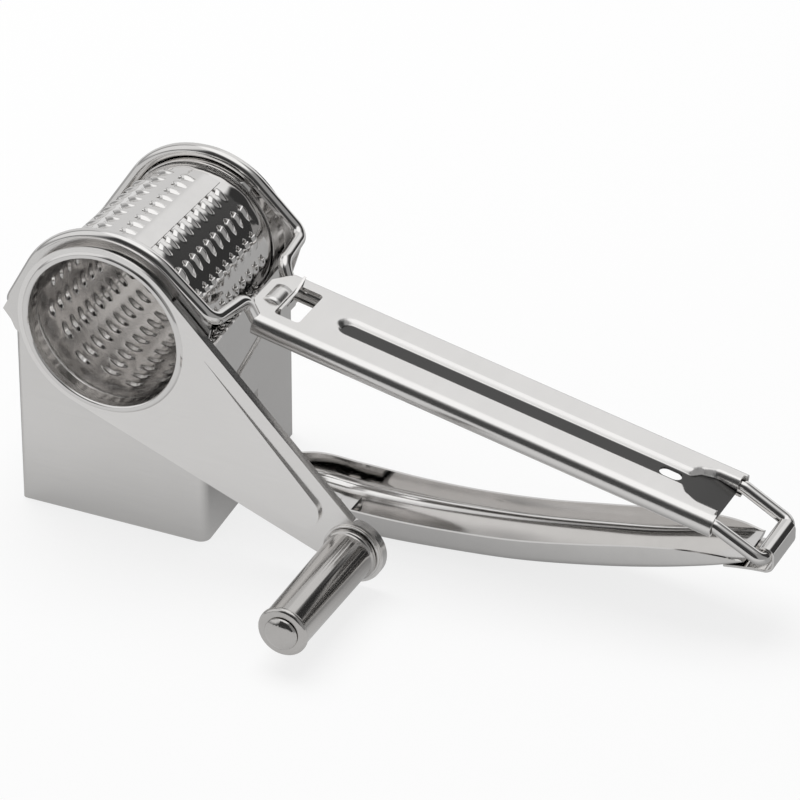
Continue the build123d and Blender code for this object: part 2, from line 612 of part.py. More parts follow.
def make_lower_handle():
    outer = loft([trough_section(*st, 0.0, 0.0) for st in TROUGH], ruled=True)
    inner_stations = []
    for i, st in enumerate(TROUGH):
        x = st[0]
        if i == 0:
            x += 1.0
        if i == len(TROUGH) - 1:
            x += 0.5
        inner_stations.append((x, st[1], st[2], st[3], st[4]))
    inner = loft([trough_section(*st, TROUGH_WALL, 3.0) for st in inner_stations], ruled=True)
    trough = outer - inner
    trough = trough - tube(HINGE_X, HINGE_Z, -20, 20, 6.6)
    # window in the left end for the presser strip, rivet holes in the floor
    trough = trough - block(36, 38.8, -STRIP_HALF - 0.3, STRIP_HALF + 0.3, 3.65, 5.8)
    for x in ARM_RIVETS:
        trough = trough - Pos(x, 0, 5) * Cylinder(1.6, 16)
    # tongue from the trough's floor, curled round the hinge bar
    y0 = -KNUCKLE_HALF
    y1 = KNUCKLE_HALF
    curl = tube(HINGE_X, HINGE_Z - 0.2, y0, y1, 2.9) + tube(HINGE_X - 0.3, HINGE_Z - 2.6, y0, y1, 2.9)
    cheek = [(192.7, 26.1), (192.4, 23.7), (198.2, 23.7), (198.5, 26.1)]
    curl = curl + prism(facing_front(y1), cheek, 2 * KNUCKLE_HALF)
    tongue = [(184.0, 19.9), (185.6, 21.6), (192.6, 24.0), (195.3, 22.6), (195.3, 20.8), (191.8, 20.4)]
    curl = curl + prism(facing_front(y1), tongue, 2 * KNUCKLE_HALF)
    return trough + (curl - tube(HINGE_X, HINGE_Z, -20, 20, WIRE_R + FIT))


# ---------------------------------------------------------------- presser
ARM_RIVETS = (48.0, 56.0)
SADDLE_X = -3.7          # middle of the saddle at rest
SADDLE_RIVETS = (SADDLE_X - 5.3, SADDLE_X + 5.3)


def at_rest(shape):
    """Presser parts are drawn with the handle closed, then lowered to rest."""
    return shape.rotate(Axis((HINGE_X, 0, HINGE_Z), (0, 1, 0)), -SQUEEZE)


def make_presser_plate():
    # saddle that fits under the drum, shaped to the plan of the food box
    plan = [(-25.2, -30.8), (25.6, -30.8), (23.0, 30.8), (-21.4, 30.8)]
    column = prism(Plane.XY, plan, 80)
    shell = tube(0, AXIS_Z, -30.8, 30.8, PRESS_R + PRESS_WALL, PRESS_R)
    shell = shell & block(-25.6, 24.0, -31, 31, 30, 52.0)
    return at_rest(shell & column)


def make_presser_arm():
    # flat strip from the trough's floor through the box's slot to the saddle
    run = [(-14.0, STRIP_Z), (37.0, STRIP_Z), (44.0, 2.62), (50.0, 2.3), (58.0, 1.88), (63.0, 1.76)]
    top = [(x, z + STRIP) for x, z in reversed(run)]
    strip = prism(facing_front(STRIP_HALF), run + top, 2 * STRIP_HALF)
    for x in ARM_RIVETS + SADDLE_RIVETS:
        strip = strip - Pos(x, 0, 5) * Cylinder(1.6, 16)
    return strip


def make_saddle_bracket():
    # folded bracket between the strip and the saddle
    base = STRIP_Z + STRIP
    x0 = SADDLE_X - 9.0
    x1 = SADDLE_X + 9.0
    web = block(x0, x1, -4.4, 4.4, base, base + 6.0)
    web = web - block(x0 + 1.2, x1 - 1.2, -6, 6, base + 1.2, base + 8.0)
    for x in SADDLE_RIVETS:
        web = web - Pos(x, 0, 5) * Cylinder(1.6, 16)
    shell = at_rest(tube(0, AXIS_Z, -40, 40, PRESS_R + PRESS_WALL))
    return web - shell


def make_rivet(x, z0, z1, head, foot):
    """Small rivet standing upright: shank from z0 to z1, flat head above, foot below."""
    rivet = Pos(x, 0, (z0 + z1) / 2) * Cylinder(1.6, z1 - z0)
    rivet = rivet + Pos(x, 0, z1 + head / 2) * Cylinder(2.5, head)
    if foot > 0:
        rivet = rivet + Pos(x, 0, z0 - foot / 2) * Cylinder(2.5, foot)
    return rivet


def make_arm_rivets():
    # flush below so that the belly of the trough rests on the table
    first = make_rivet(ARM_RIVETS[0], 0.8, 3.76, 0.7, 0)
    return first + make_rivet(ARM_RIVETS[1], 0.4, 3.33, 0.7, 0)


def make_saddle_rivets():
    base = STRIP_Z + STRIP
    first = make_rivet(SADDLE_RIVETS[0], STRIP_Z, base + 1.2, 0.7, 0.7)
    return first + make_rivet(SADDLE_RIVETS[1], STRIP_Z, base + 1.2, 0.7, 0.7)


# ---------------------------------------------------------------- build and write
nodes = {
    "wire_loop": make_wire_loop(WIRE_R),
    "hopper_shell": make_hopper(),
    "front_bearing": make_front_bearing(),
    "back_bearing": make_back_bearing(),
    "back_boss": make_back_boss(),
    "chute_wall": make_chute_wall(),
    "grip_plate": make_grip_plate(),
    "catch_lever": make_catch_lever(),
    "catch_pin": make_catch_pin(),
    "drum_shell": make_drum_shell(),
    "drum_neck": make_drum_neck(),
    "drum_back": make_drum_back(),
    "crank_plate": make_crank_plate(),
    "knob_pin": make_knob_pin(),
    "knob_washer": make_knob_washer(),
    "knob_sleeve": make_knob_sleeve(),
    "knob_cap": make_knob_cap(),
    "lower_handle": make_lower_handle(),
    "presser_plate": make_presser_plate(),
    "presser_arm": make_presser_arm(),
    "saddle_bracket": make_saddle_bracket(),
    "arm_rivets": make_arm_rivets(),
    "saddle_rivets": make_saddle_rivets(),
}

for name, shape in nodes.items():
    placed = Pos(-ORIGIN_X, -ORIGIN_Y, 0) * shape
    placed.label = name
    export_step(placed, "parts/" + name + ".step")
    print(name, round(placed.volume, 1), placed.bounding_box(), len(placed.solids()))
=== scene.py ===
import math

import bpy
import numpy as np
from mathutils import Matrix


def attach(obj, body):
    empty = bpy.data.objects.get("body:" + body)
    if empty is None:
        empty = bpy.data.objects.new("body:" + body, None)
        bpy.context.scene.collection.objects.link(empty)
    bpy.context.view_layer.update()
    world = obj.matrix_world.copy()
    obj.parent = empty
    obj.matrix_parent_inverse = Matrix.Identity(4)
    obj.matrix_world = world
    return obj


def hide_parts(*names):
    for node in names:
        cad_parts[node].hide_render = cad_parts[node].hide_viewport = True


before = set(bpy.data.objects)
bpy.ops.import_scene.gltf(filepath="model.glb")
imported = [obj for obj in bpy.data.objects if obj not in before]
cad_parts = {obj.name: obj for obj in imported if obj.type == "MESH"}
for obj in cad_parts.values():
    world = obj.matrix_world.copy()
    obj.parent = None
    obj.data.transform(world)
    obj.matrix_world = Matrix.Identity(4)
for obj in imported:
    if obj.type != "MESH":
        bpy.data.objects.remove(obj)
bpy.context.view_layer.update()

# ------------------------------------------------------------------ frame wire
# One closed loop of 4 mm stainless wire, bent cold and polished. It is the hinge bar, the legs,
# the rails of the upper handle, the two arches and the bar left of the food box.
# Sizes are in millimetres in the drawing's frame: the drum's axis is at x = 0, the table at z = 0.
ORIGIN = np.array([81.35, -24.3, 0.0])     # the part's origin, seen from the drawing's zero
AXIS_Z = 65.9                    # drum axis above the table
WIRE_R = 2.0
RAIL_X, RAIL_Y, RAIL_Z = 36.65, 11.3, 65.4  # start of the straight rails of the handle
SLOPE = math.radians(12.09)      # the rails fall to the right
RAIL_LENGTH = 147.5
RAIL_END = (RAIL_X + RAIL_LENGTH * math.cos(SLOPE), RAIL_Z - RAIL_LENGTH * math.sin(SLOPE))
HINGE = (195.6, 26.3)            # hinge bar, x and z
LEG_Y = 11.0
ARCH_Y = 30.3
LEFT_BAR_Z = 63.3
WIRE_SIDES = 28


def in_metres(points):
    """Drawing millimetres to the part's frame in metres."""
    return (np.asarray(points, float) - ORIGIN) / 1000.0


def grid_faces(rows, cols, close_u=False, close_v=False, flip=False):
    """Quads of a rows by cols grid of points, closed along either way.

    They face along row direction x column direction, or the other way with flip.
    """
    ru = rows if close_u else rows - 1
    rv = cols if close_v else cols - 1
    i, j = np.meshgrid(np.arange(ru), np.arange(rv), indexing="ij")
    a = i * cols + j
    b = ((i + 1) % rows) * cols + j
    c = ((i + 1) % rows) * cols + (j + 1) % cols
    d = i * cols + (j + 1) % cols
    quads = np.stack([a, b, c, d], -1).reshape(-1, 4)
    return quads[:, ::-1] if flip else quads


def skin(name, points, quads, smooth=True):
    """A mesh piece from drawing points (n, 3) and quads (m, 4)."""
    points = in_metres(points)
    mesh = bpy.data.meshes.new(name)
    mesh.vertices.add(len(points))
    mesh.vertices.foreach_set("co", points.ravel())
    quads = np.asarray(quads, np.int32)
    mesh.loops.add(quads.size)
    mesh.loops.foreach_set("vertex_index", quads.ravel())
    mesh.polygons.add(len(quads))
    mesh.polygons.foreach_set("loop_start", np.arange(0, quads.size, 4, dtype=np.int32))
    mesh.polygons.foreach_set("loop_total", np.full(len(quads), 4, np.int32))
    mesh.polygons.foreach_set("use_smooth", np.full(len(quads), smooth))
    mesh.update(calc_edges=True)
    mesh.validate()
    piece = bpy.data.objects.new(name, mesh)
    bpy.context.scene.collection.objects.link(piece)
    return piece


def bent_line(points, radii, step):
    """Straight runs joined by tangent arcs, as points about one step apart."""
    line = [np.array(points[0], float)]
    for k in range(1, len(points) - 1):
        corner = np.array(points[k], float)
        before = np.array(points[k - 1], float) - corner
        after = np.array(points[k + 1], float) - corner
        before /= np.linalg.norm(before)
        after /= np.linalg.norm(after)
        half = math.acos(np.clip(before @ after, -1, 1)) / 2
        reach = radii[k - 1] / math.tan(half)
        middle = (before + after) / np.linalg.norm(before + after)
        centre = corner + middle * radii[k - 1] / math.sin(half)
        start, end = corner + before * reach, corner + after * reach
        line += list(straight(line[-1], start, step))
        out0, out1 = start - centre, end - centre
        turn = math.pi - 2 * half
        t = np.linspace(0, 1, max(4, int(turn * radii[k - 1] / step * 2) + 2))[:, None]
        arc = (np.sin((1 - t) * turn) * out0 + np.sin(t * turn) * out1) / math.sin(turn)
        line += list((centre + arc)[1:])
    line += list(straight(line[-1], np.array(points[-1], float), step))
    return np.array(line)


def straight(a, b, step):
    """Points after a up to b, evenly spaced."""
    n = max(1, int(np.linalg.norm(b - a) / step))
    t = np.arange(1, n + 1)[:, None] / n
    return a + (b - a) * t


def round_bar(path, radius, sides, closed=False):
    """Circle carried along a path: p + r (cos t side + sin t up).

    The side vector is turned as little as possible from point to point, so the faces don't twist.
    """
    ahead = np.roll(path, -1, 0) - path
    behind = path - np.roll(path, 1, 0)
    if not closed:
        ahead[-1], behind[0] = behind[-1], ahead[0]
    ahead = ahead / np.linalg.norm(ahead, axis=1)[:, None]
    behind = behind / np.linalg.norm(behind, axis=1)[:, None]
    tangent = ahead + behind
    tangent /= np.linalg.norm(tangent, axis=1)[:, None]
    side = np.zeros_like(path)
    ref = np.cross(tangent[0], (0.13, 0.31, 0.94))
    for k in range(len(path)):
        ref = ref - tangent[k] * (ref @ tangent[k])
        ref = ref / np.linalg.norm(ref)
        side[k] = ref
    up = np.cross(tangent, side)
    turn = np.linspace(0, 2 * np.pi, sides, endpoint=False)
    ring = side[:, None] * np.cos(turn)[None, :, None] + up[:, None] * np.sin(turn)[None, :, None]
    return (path[:, None] + radius * ring).reshape(-1, 3)


def arch_touch(point, radius, side):
    """Angle at which the line from a point touches the arch: bearing +- acos(radius / distance)."""
    away = math.hypot(point[0], point[1] - AXIS_Z)
    return math.atan2(point[1] - AXIS_Z, point[0]) + side * math.acos(radius / away)


def wire_half(left, jog, radius, y, side, inner):
    """Path of one half of the loop, from the left bar over the arch to the hinge bar.

    The arch is a circle about the drum's axis. Straight runs touch it from the point `left` and from
    the point `jog`, where the wire turns in to the handle. `inner` is the second point of that turn
    and how far along the rail it ends.
    """
    a0 = arch_touch(left, radius, -1) % (2 * math.pi)
    a1 = arch_touch(jog, radius, 1)
    start = [(left[0], 0, LEFT_BAR_Z), (left[0], y, left[1])]
    start.append((radius * math.cos(a0), y, AXIS_Z + radius * math.sin(a0)))
    end = [(radius * math.cos(a1), y, AXIS_Z + radius * math.sin(a1)), (jog[0], y, jog[1])]
    end += [(inner[0], side * 13.1, inner[1]), (RAIL_X + inner[2], side * RAIL_Y, RAIL_Z - 0.21 * inner[2])]
    end += [(RAIL_END[0], side * RAIL_Y, RAIL_END[1]), (HINGE[0], side * LEG_Y, HINGE[1])]
    end.append((HINGE[0], 0, HINGE[1]))
    turn = np.linspace(a0, a1, 60)[1:-1]
    arch = np.stack([radius * np.cos(turn), y + 0 * turn, AXIS_Z + radius * np.sin(turn)], 1)
    left_bend, right_bends, step = [4.0], [4.0, 4.2, 4.0, 5.0, 2.4], 1.2
    return np.concatenate([bent_line(start, left_bend, step), arch, bent_line(end, right_bends, step)])


front_half = wire_half((-33.3, 64.6), (33.0, 74.8), 28.6, -ARCH_Y, -1, (34.7, 73.4, 1.0))
back_half = wire_half((-34.0, 62.0), (31.8, 71.6), 26.3, ARCH_Y, 1, (34.0, 71.6, 0.4))
loop = np.concatenate([front_half[1:], back_half[::-1][1:]])
frame_wire = skin("frame_wire", round_bar(loop, WIRE_R, WIRE_SIDES, True),
                  grid_faces(len(loop), WIRE_SIDES, True, True))


class Flow:
    """A value in a material's node tree. Sums and products of such values add Math nodes."""

    def __init__(self, tree, socket=None):
        self.tree = tree
        self.socket = socket

    def node(self, kind, settings=None, inputs=None, out=0):
        """Adds one node: its settings first, then values or links for its sockets."""
        made = self.tree.nodes.new(kind)
        for name, value in (settings or {}).items():
            setattr(made, name, value)
        for name, value in (inputs or {}).items():
            if isinstance(value, Flow):
                self.tree.links.new(value.socket, made.inputs[name])
            else:
                made.inputs[name].default_value = value
        return Flow(self.tree, made.outputs[out] if made.outputs else None)

    def maths(self, operation, a, b):
        """One Math node on two values."""
        return self.node("ShaderNodeMath", {"operation": operation}, {0: a, 1: b})

    def __add__(self, other):
        return self.maths("ADD", self, other)

    def __sub__(self, other):
        return self.maths("SUBTRACT", self, other)

    def __rsub__(self, other):
        return self.maths("SUBTRACT", other, self)

    def __mul__(self, other):
        return self.maths("MULTIPLY", self, other)

    __radd__ = __add__
    __rmul__ = __mul__

    def ramp(self, low, high, to_low=0.0, to_high=1.0):
        """Smooth step from one value to another while this value runs from low to high."""
        ends = {"From Min": low, "From Max": high, "To Min": to_low, "To Max": to_high, "Value": self}
        return self.node("ShaderNodeMapRange", {"interpolation_type": "SMOOTHSTEP"}, ends)


def steel(name, grey, rough, grain=(900, 900, 900), streak=0.05, smudge=0.05, bump=0.02, warm=0.985,
          groove=False):
    """Stainless steel: drawn-out noise for the grain, soft noise for smudges.

    Roughness = rough + streak (fine - 1/2) + smudge (cloud - 1/2). The grey varies by a few hundredths
    with both, and red and blue differ from green by the factor warm. With groove, the piece's
    attribute of that name darkens the groove's floor: painted shade, standing in for a dark reflection.
    """
    paint = bpy.data.materials.new(name)
    paint.use_nodes = True
    tree = paint.node_tree
    tree.nodes.clear()
    start = Flow(tree)
    place = start.node("ShaderNodeTexCoord", out="Object")
    lengthened = start.node("ShaderNodeMapping", None, {"Vector": place, "Scale": grain})
    fine = start.node("ShaderNodeTexNoise", None, {"Vector": lengthened, "Scale": 1.0, "Detail": 3.0})
    cloud = start.node("ShaderNodeTexNoise", None, {"Vector": place, "Scale": 55.0, "Detail": 4.0})
    roughness = rough + streak * (fine - 0.5) + smudge * (cloud - 0.5)
    tint = cloud * 0.06 + fine * 0.05 + (grey - 0.055)
    if groove:
        # painted shade: the floor of the pressed groove and scoop is darkened, standing in for a dark
        # reflection
        groove_shade_mask = start.node("ShaderNodeAttribute", {"attribute_name": "groove"}, out="Fac")
        tint = tint * groove_shade_mask.ramp(0.70, 0.90, 1.0, 0.10)
    colour = start.node("ShaderNodeCombineColor", None, {
        "Red": tint * (1 / warm), "Green": tint, "Blue": tint * warm})
    relief = start.node("ShaderNodeBump", None, {"Strength": bump, "Distance": 0.0002, "Height": fine})
    surface = start.node("ShaderNodeBsdfPrincipled", None, {
        "Base Color": colour, "Roughness": roughness, "Metallic": 1.0, "Normal": relief})
    start.node("ShaderNodeOutputMaterial", None, {"Surface": surface})
    return paint


def dress(piece, paint, body, node=None):
    """Gives a piece its material, the body it rides on and the CAD node it stands in for."""
    piece.data.materials.append(paint)
    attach(piece, body)
    if node:
        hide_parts(node)


EVEN_GRAIN = (300, 300, 300)
BRUSHED_GRAIN = (60, 60, 1400)
polished = steel("polished_steel", 0.82, 0.09, EVEN_GRAIN, 0.02, 0.04, 0.0)
dress(frame_wire, polished, "frame", "wire_loop")

# ------------------------------------------------------------------ food box, presser, crank and knob
# The box is folded from 0.8 mm sheet with a satin face. Rings, boss, catch and presser are polished.
# The crank plate is fixed to the drum's neck, and a tapered knob turns on a pin at its end.
import bmesh


def softened(node, paint, width, body="frame", sharp=35):
    """The solid's own surface as one clean skin, its edges rounded over as pressing leaves them."""
    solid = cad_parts[node]
    work = bmesh.new()
    work.from_mesh(solid.data)
    bmesh.ops.remove_doubles(work, verts=work.verts, dist=2e-6)
    bmesh.ops.dissolve_limit(work, angle_limit=math.radians(1.0), verts=work.verts, edges=work.edges)
    mesh = bpy.data.meshes.new(node + "_skin")
    work.to_mesh(mesh)
    work.free()
    mesh.shade_smooth()
    mesh.set_sharp_from_angle(angle=math.radians(sharp))
    piece = bpy.data.objects.new(node + "_skin", mesh)
    bpy.context.scene.collection.objects.link(piece)
    if width:
        bevel = piece.modifiers.new("edge_round", "BEVEL")
        bevel.width = width
        bevel.segments = 2
        bevel.limit_method = "ANGLE"
        bevel.angle_limit = math.radians(sharp)
        bevel.use_clamp_overlap = True
        bevel.harden_normals = True
    dress(piece, paint, body, node)


satin = steel("satin_steel", 0.84, 0.25, BRUSHED_GRAIN, 0.03, 0.03, 0.0)
softened("hopper_shell", satin, 0.0003)
for node in ("chute_wall", "front_bearing", "back_bearing", "back_boss", "catch_pin"):
    softened(node, polished, 0.0)
softened("catch_lever", polished, 0.0001, "catch")
for node in ("presser_plate", "presser_arm", "saddle_bracket", "saddle_rivets", "arm_rivets"):
    softened(node, polished, 0.0, "handle")
crank_satin = steel("crank_satin", 0.93, 0.25, BRUSHED_GRAIN, 0.03, 0.03, 0.0)
knob_steel = steel("knob_steel", 0.60, 0.12, (900, 60, 900), 0.05, 0.04, 0.0, 0.975)
softened("crank_plate", crank_satin, 0.00036, "drum")
softened("knob_pin", knob_steel, 0.0003, "drum")
softened("knob_washer", polished, 0.0003, "drum")
for node in ("knob_sleeve", "knob_cap"):
    softened(node, knob_steel, 0.0003, "knob")

# ------------------------------------------------------------------ drum
# Stainless sheet pressed with 17 rows of raised teeth and rolled into a slightly tapered drum.
# The rows stand on creases with flats between them, and a lap seam closes the roll.
ROWS = 17
ROW_STEP = math.radians(20.8)
ROW_ANGLES = math.radians(61.2) - ROW_STEP * np.arange(ROWS)
SEAM = math.radians(74.8)
TOOTH_PITCH = 4.65
TEETH_MIDDLE = -1.2
ROW_WIDTH = 8.95                 # along the turn, from row to row, mm
TEETH_FRONT = TEETH_MIDDLE - 5 * TOOTH_PITCH
TEETH_BACK = TEETH_MIDDLE + 5 * TOOTH_PITCH
DRUM_SHEET = 0.0006              # metres
DRUM_R_MID = 24.65
DRUM_TAPER = 0.038               # narrower by this much per mm to the back
DRUM_FRONT, DRUM_BACK = -31.0, 27.0
BAND_BLEND = 2.1                 # from the teeth to the round bands at the ends
CORNERS = np.concatenate([[SEAM - 2 * np.pi], ROW_ANGLES[::-1], [SEAM]])


def drum_radius(y):
    """r = r0 - taper y: the drum narrows to the back."""
    return DRUM_R_MID - DRUM_TAPER * y


def on_flats(angle, y, rise=0.0, lift_angle=0.0, roundness=0.0):
    """Point on the flat between two creases, raised along the direction of one of them.

    The direction is interpolated between the creases' directions, which gives a flat. It is mixed
    with (cos a, sin a) by roundness, which gives the round bands.
    """
    flat = np.stack([np.interp(angle, CORNERS, np.cos(CORNERS)), np.interp(angle, CORNERS, np.sin(CORNERS))])
    full = np.stack([np.cos(angle), np.sin(angle)])
    way = flat * (1 - roundness) + full * roundness
    r = drum_radius(y)
    return np.stack([
        r * way[0] + rise * np.cos(lift_angle), y + 0 * angle,
        AXIS_Z + r * way[1] + rise * np.sin(lift_angle)], -1)


# one tooth in its cell: u runs back along the turn from the crease, v along the drum, h up
SIDE_U = np.array([2.5, 1.3, 0.0, -0.5, -1.0, -1.4])
LEAF = 1.08 * np.sqrt(1 - (SIDE_U / 3.35) ** 2)     # half width of the leaf-shaped opening
TAIL_U = 3.3                     # where the hood ends
TIP_U = -3.15                    # pointed end of the opening, ahead of the lip
HOOD_RISE = 1.1
HOOD_REACH = 0.75                # of the lip's middle over the opening
EDGE_U = np.array([ROW_WIDTH / 2, 2.2, 0.0, -1.1, -2.2, -3.4, -ROW_WIDTH / 2])


def tooth_cell():
    """Points (u, v, h) and quads of a cell: sheet rings round the leaf, then the raised hood.

    The hood is h = rise sin(pi/2 a)^1.3 (1 - c^2)^0.6, with a from tail to lip and c across it.
    """
    inner = [(TAIL_U, 0)] + [(u, -w) for u, w in zip(SIDE_U, LEAF)]
    inner += [(-2.35, -0.62), (TIP_U, 0), (-2.35, 0.62)]
    inner += [(u, w) for u, w in zip(SIDE_U[::-1], LEAF[::-1])]
    half = TOOTH_PITCH / 2
    outer = [(EDGE_U[0], 0), (EDGE_U[0], -half)] + [(u, -half) for u in EDGE_U[1:-1]]
    outer += [(EDGE_U[-1], -half), (EDGE_U[-1], 0), (EDGE_U[-1], half)]
    outer += [(u, half) for u in EDGE_U[-2:0:-1]] + [(EDGE_U[0], half)]
    inner, outer = np.array(inner), np.array(outer)
    near = inner + 0.2 * (outer - inner)
    # the crease at u = 0 stays straight
    near[:, 0] = np.where(np.abs(inner[:, 0]) < 1e-9, 0.0, near[:, 0])
    rings = np.concatenate([inner, near, outer])
    rings = np.concatenate([rings, np.zeros((len(rings), 1))], 1)
    count = len(inner)
    quads = grid_faces(3, count, close_v=True, flip=True)
    # hood: a dome that grows from the tail to the lip, whose middle reaches over the opening
    along = np.array([0.0, 0.24, 0.48, 0.66, 0.77, 0.88, 1.0])
    across = np.linspace(-1, 1, 5)
    u = np.concatenate([[TAIL_U], SIDE_U])[:, None] - HOOD_REACH * along[:, None] ** 3 * (1 - across ** 2)
    w = np.concatenate([[0], LEAF])[:, None]
    v = w * across * (1 + 0 * u)
    h = HOOD_RISE * np.sin(np.pi / 2 * along[:, None]) ** 1.3 * (1 - across ** 2) ** 0.6
    hood = np.stack([u, v, h], -1).reshape(-1, 3)
    quads = np.concatenate([quads, grid_faces(7, 5, flip=True) + len(rings)])
    return np.concatenate([rings, hood]), quads


cell, cell_quads = tooth_cell()
patch_points, patch_quads = [], []


def add_part(points, quads):
    """Collects one patch of the drum's sheet, its quads counted on from the patches before it."""
    patch_quads.append(quads + sum(len(patch) for patch in patch_points))
    patch_points.append(points.reshape(-1, 3))


for row, middle in enumerate(ROW_ANGLES):
    count = 10 if row % 2 else 9
    places = TEETH_MIDDLE + (np.arange(count) - (count - 1) / 2) * TOOTH_PITCH
    angle = middle - ROW_STEP * cell[:, 0] / ROW_WIDTH
    y = places[:, None] + cell[None, :, 1]
    points = on_flats(angle[None] + 0 * y, y, cell[None, :, 2], middle)
    quads = cell_quads[None] + (np.arange(count) * len(cell))[:, None, None]
    add_part(points, quads.reshape(-1, 4))
    if count == 9:
        edge = middle - ROW_STEP * EDGE_U / ROW_WIDTH
        half = TOOTH_PITCH / 2
        for a, b in ((TEETH_FRONT, TEETH_FRONT + half), (TEETH_BACK - half, TEETH_BACK)):
            y = np.array([a, b])[:, None] + 0 * edge
            add_part(on_flats(edge + 0 * y, y), grid_faces(2, len(EDGE_U)))
# plain strip with the seam, on both sides of its crease
SEAM_EDGE = ROW_ANGLES[0] + ROW_STEP / 2
strip_y = np.linspace(TEETH_FRONT, TEETH_BACK, 21)[:, None]
for angles in ((SEAM_EDGE, SEAM), (SEAM - 2 * np.pi, ROW_ANGLES[-1] - ROW_STEP / 2)):
    angles = np.array(angles)[None] + 0 * strip_y
    add_part(on_flats(angles, strip_y + 0 * angles), grid_faces(21, 2))
# round bands at both ends
turn = np.concatenate([middle - ROW_STEP * EDGE_U[:-1] / ROW_WIDTH for middle in ROW_ANGLES[::-1]])
turn = np.concatenate([[SEAM - 2 * np.pi], turn, [SEAM_EDGE]])
for ys in ((DRUM_FRONT, -28.5, -26.6, -25.5, TEETH_FRONT), (TEETH_BACK, 23.0, 24.2, 25.6, DRUM_BACK)):
    ys = np.array(ys)
    away = np.maximum(TEETH_FRONT - ys, ys - TEETH_BACK)
    blend = np.clip(away / BAND_BLEND, 0, 1)[:, None]
    angles = turn[None] + 0 * blend
    add_part(on_flats(angles, ys[:, None] + 0 * angles, roundness=blend),
             grid_faces(5, len(turn), close_v=True))
drum_sheet = skin("drum_sheet", np.concatenate(patch_points), np.concatenate(patch_quads))


def weld(piece, recalculate=False, sharp=None):
    """Joins the patches of a piece at their shared points."""
    work = bmesh.new()
    work.from_mesh(piece.data)
    bmesh.ops.remove_doubles(work, verts=work.verts, dist=3e-6)
    bmesh.ops.dissolve_degenerate(work, edges=work.edges, dist=1e-7)
    if recalculate:
        bmesh.ops.recalc_face_normals(work, faces=work.faces)
    work.to_mesh(piece.data)
    work.free()
    piece.data.shade_smooth()
    if sharp:
        piece.data.set_sharp_from_angle(angle=math.radians(sharp))


def give_thickness(piece, thickness, rounding=0.0):
    """Makes a surface into sheet, on the back of its faces, and rounds the sheet's cut edges."""
    sheet = piece.modifiers.new("sheet_thickness", "SOLIDIFY")
    sheet.thickness = thickness
    sheet.offset = -1
    if rounding:
        edge = piece.modifiers.new("edge_round", "BEVEL")
        edge.width = rounding
        edge.segments = 2
        edge.limit_method = "ANGLE"
        edge.angle_limit = math.radians(60)
        edge.harden_normals = True
    return sheet


weld(drum_sheet)
sheet = give_thickness(drum_sheet, DRUM_SHEET)
sheet.material_offset = 1
sheet.material_offset_rim = 1
drum_polish = steel("drum_polish", 0.86, 0.06, EVEN_GRAIN, 0.01, 0.01, 0.0)
drum_inside = steel("drum_inside", 0.94, 0.15, EVEN_GRAIN, 0.01, 0.01, 0.0)
dress(drum_sheet, drum_polish, "drum", "drum_shell")
drum_sheet.data.materials.append(drum_inside)

# lap of the seam: the sheet's end lies over the flat strip, its own edges turned in to the drum
lap_turn = SEAM + np.radians([-7.4, -7.2, 0, 7.2, 7.4])
lap_scale = np.array([0.985, 1.0065, 1.011, 1.0065, 0.985])
lap_y = np.array([-24.45, -24.45, -24.2, 22.0, 22.25, 22.25])[:, None]
lap_end = np.array([True, False, False, False, False, True])[:, None]
lap_r = drum_radius(lap_y) * np.where(lap_end, lap_scale[0], lap_scale)
lap = np.stack([lap_r * np.cos(lap_turn), lap_y + 0 * lap_r, AXIS_Z + lap_r * np.sin(lap_turn)], -1)
seam_lap = skin("seam_lap", lap.reshape(-1, 3), grid_faces(6, 5))
weld(seam_lap, sharp=30)
dress(seam_lap, polished, "drum")


def lathe(name, outline, x, z, radii=None, sides=96, sharp=40):
    """Outline of (radius, y) points with rounded corners, turned about a line along Y.

    Each point goes to (x + r cos t, y, z + r sin t).
    """
    outline = np.array([(r, y, 0) for r, y in outline], float)
    if radii is not None:
        outline = bent_line(outline, radii, 1.5)
    turn = np.linspace(0, 2 * np.pi, sides, endpoint=False)
    r, y = outline[:, :1], outline[:, 1:2]
    points = np.stack([x + r * np.cos(turn), y + 0 * turn, z + r * np.sin(turn)], -1)
    piece = skin(name, points.reshape(-1, 3), grid_faces(len(outline), sides, close_v=True))
    weld(piece, True, sharp)
    return piece


# running neck in the front wall, bead round the mouth, dished cap with its stub
neck = [(24.1, -35.7), (26.15, -35.7), (26.15, -26.5), (25.6, -26.5), (25.1, -31.0), (24.1, -31.4),
        (24.1, -35.7)]
drum_collar = lathe("drum_collar", neck, 0, AXIS_Z, sides=144)
cap = [(0, 27.0), (23.55, 27.0), (23.55, 27.9), (20.0, 27.9), (17.5, 28.9), (8.5, 28.9), (7.0, 28.2),
       (3.0, 28.2), (3.0, 36.0), (0, 36.2)]
mouth = [(24.0, -35.6), (24.0, -36.6), (24.4, -37.1), (25.5, -37.1), (26.1, -36.5), (26.1, -36.2),
         (25.0, -35.6), (24.0, -35.6)]
mouth_bead = lathe("mouth_bead", mouth, 0, AXIS_Z, [0.2, 0.35, 0.5, 0.2, 0.1, 0.1], sides=144)
dress(mouth_bead, polished, "drum")
drum_end = lathe("drum_end", cap, 0, AXIS_Z, [0.4, 0.4, 1.5, 1.5, 0.8, 0.5, 0.3, 0.5])
for piece, node in ((drum_collar, "drum_neck"), (drum_end, "drum_back")):
    dress(piece, polished, "drum", node)

# ------------------------------------------------------------------ upper handle plate
# Pressed from 0.8 mm sheet: its long edges are curled round the two rails, a groove stiffens the
# middle and widens into a scoop at the hinge. A window lets the catch through.
PLATE_UNDER = 2.85               # under side of the plate above the rails' plane
PLATE_SHEET = 0.0008             # metres
PLATE_START, PLATE_END, ROLL_END = -3.6, 146.7, 147.6
ROLL_R = 2.85                    # inner radius of the rolled edges
GROOVE_DEPTH = 1.4
